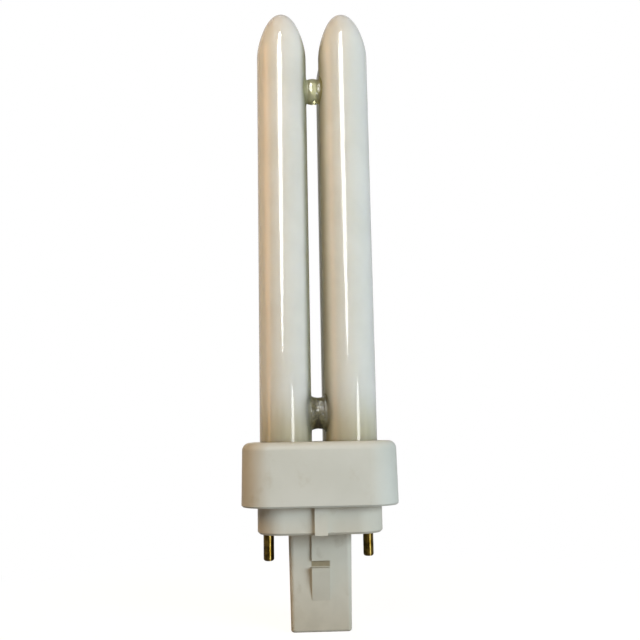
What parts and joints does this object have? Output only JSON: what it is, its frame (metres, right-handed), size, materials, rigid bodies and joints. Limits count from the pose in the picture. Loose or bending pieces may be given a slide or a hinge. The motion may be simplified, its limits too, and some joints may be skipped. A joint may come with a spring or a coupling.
{
  "type": "compact fluorescent lamp",
  "caption": "Plug-in compact fluorescent lamp: U-bent coated glass tubes joined by a glass bridge and tie, set in a square plastic collar over a keyed plug base with diagonal contact pins.",
  "frame": {"origin": "middle of the flat end of the plug post", "axes": "+Z along the lamp from the plug to the bends, -Y towards the face with the glass bridge and tie, +X to the right of that face"},
  "size_m": [0.0358, 0.0358, 0.1526],
  "materials": {
    "coated_glass": "gloss over a milky inner coating",
    "cement": "matte",
    "collar_plastic": "satin moulded",
    "base_plastic": "satin moulded",
    "pin_brass": "turned",
    "starter_glass": "clear",
    "capacitor_coat": "dipped",
    "lead_wire": "drawn"
  },
  "bodies": {
    "root": {"discharge_tube": "coated_glass", "tube_cement": "cement", "collar": "collar_plastic", "plug_base": "base_plastic", "contact_pin_left": "pin_brass", "contact_pin_right": "pin_brass", "starter_bulb": "starter_glass", "starter_capacitor": "capacitor_coat", "capacitor_leads": "lead_wire", "pin_lead_left": "lead_wire", "pin_lead_right": "lead_wire", "starter_lead_left": "lead_wire", "starter_lead_right": "lead_wire"}
  },
  "joints": []
}
